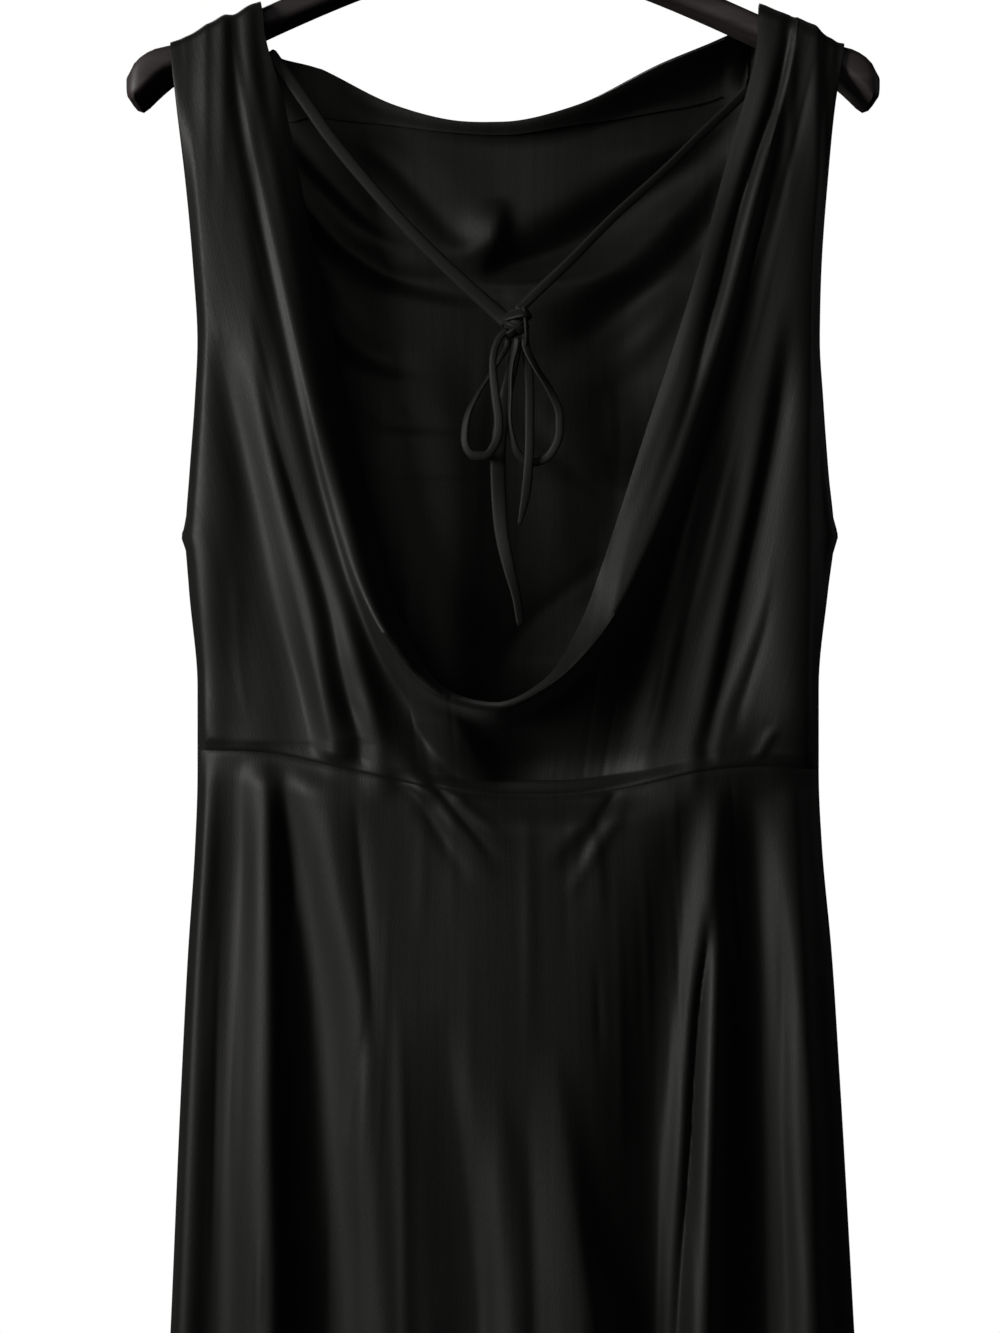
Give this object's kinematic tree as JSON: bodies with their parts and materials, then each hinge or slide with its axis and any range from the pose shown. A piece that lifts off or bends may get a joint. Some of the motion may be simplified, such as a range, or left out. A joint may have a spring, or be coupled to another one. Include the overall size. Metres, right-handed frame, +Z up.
{
  "type": "sleeveless draped-back maxi dress on a wooden hanger",
  "caption": "Long sleeveless jersey dress with a deep draped back, a tie bow and a bias-cut skirt, hung on a wooden hanger.",
  "frame": {"origin": "top of the space inside the hanger's hook, where a rail or wall hook holds it", "axes": "+Z up, +X along the hanger, -Y the dress's draped back with its bow, +Y its high front"},
  "size_m": [0.4774, 0.1301, 1.5935],
  "materials": {
    "cloth": "soft black jersey with a faint sheen",
    "tie": "soft black jersey, sewn as narrow tubes",
    "hanger_wood": "dark stain, satin varnish",
    "hook_steel": "bright wire"
  },
  "bodies": {
    "root": {"back_bodice": "cloth", "front_bodice": "cloth", "front_neck_facing": "cloth", "back_skirt": "cloth", "front_skirt": "cloth", "tie_string_left": "tie", "tie_string_right": "tie", "tie_loop_left": "tie", "tie_loop_right": "tie", "tie_tail_left": "tie", "tie_tail_right": "tie", "tie_knot": "tie", "hanger_arms": "hanger_wood", "hanger_hook": "hook_steel"}
  },
  "joints": []
}
